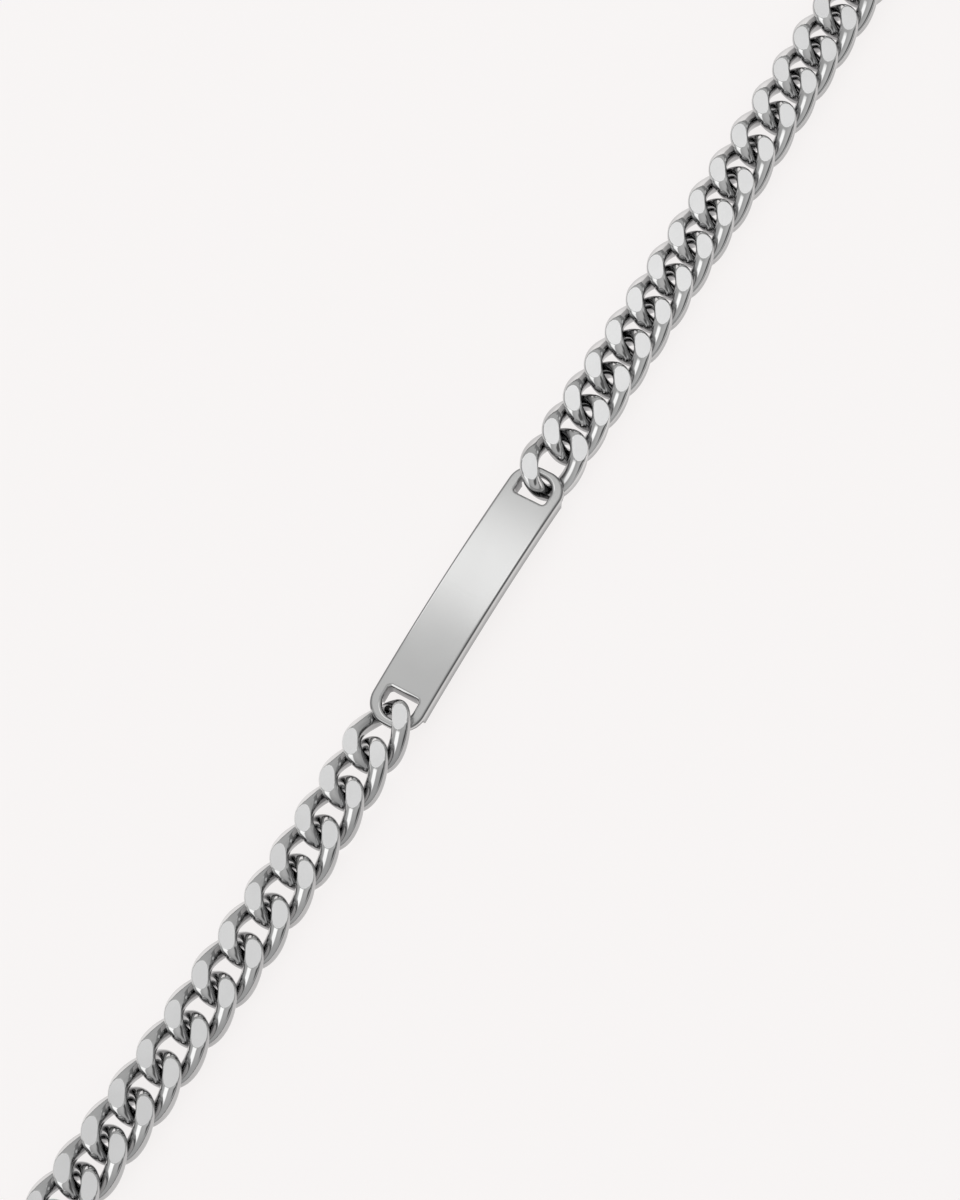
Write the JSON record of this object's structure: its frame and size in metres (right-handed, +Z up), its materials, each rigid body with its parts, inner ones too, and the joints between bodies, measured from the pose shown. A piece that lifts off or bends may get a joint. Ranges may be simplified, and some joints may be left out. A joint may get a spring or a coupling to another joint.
{
  "type": "identity bracelet",
  "caption": "Steel curb chain bracelet in a closed loop, lying flat, with a small arched name plate slotted at both ends and a plain clasp.",
  "frame": {"origin": "on the surface that the bracelet lies on, under the middle of the box round the whole loop", "axes": "+X along the name plate, from its lower left end to its upper right end in the picture; +Y across the plate, away from the inside of the loop; +Z up out of the plate's face"},
  "size_m": [0.099, 0.041, 0.0019],
  "materials": {
    "plate": "satin with thin polished edges",
    "chain": "polished steel wire with ground flat faces",
    "clasp": "satin"
  },
  "bodies": {
    "root": {"plate": "plate", "chain_left": "chain", "chain_right": "chain", "clasp": "clasp"}
  },
  "joints": []
}
